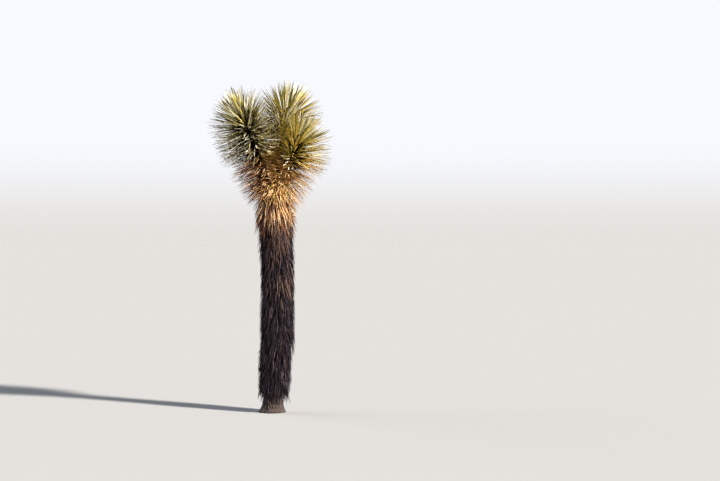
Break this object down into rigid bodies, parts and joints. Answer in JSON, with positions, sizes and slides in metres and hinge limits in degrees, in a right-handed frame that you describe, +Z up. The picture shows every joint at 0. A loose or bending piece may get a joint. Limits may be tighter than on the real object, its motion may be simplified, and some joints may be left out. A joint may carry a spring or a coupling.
{
  "type": "joshua tree",
  "caption": "Young joshua tree at its first fork: a bowed trunk in grey hanging thatch, a straw skirt, and short boughs that end in balls of stiff green dagger leaves.",
  "frame": {"origin": "the middle of the flat cut under the trunk, at ground level", "axes": "+Z up along the trunk; +X to the right and +Y away from the viewer as the picture shows the tree"},
  "size_m": [1.0795, 0.8728, 2.8785],
  "materials": {
    "bark": "rough fibrous bark",
    "green_leaf": "stiff olive green blade with a satin face",
    "brown_leaf": "dry brown blade, matt",
    "straw_leaf": "dry straw-coloured blade, matt",
    "grey_leaf": "weathered grey-brown blade, matt"
  },
  "bodies": {
    "root": {"trunk": "bark", "bough_left": "bark", "bough_upper_right": "bark", "bough_right": "bark", "head_left": "green_leaf", "head_upper_right": "green_leaf", "head_right": "green_leaf", "collar": "brown_leaf", "straw_skirt": "straw_leaf", "thatch_high": "grey_leaf", "thatch_middle": "grey_leaf", "thatch_low": "grey_leaf"}
  },
  "joints": []
}
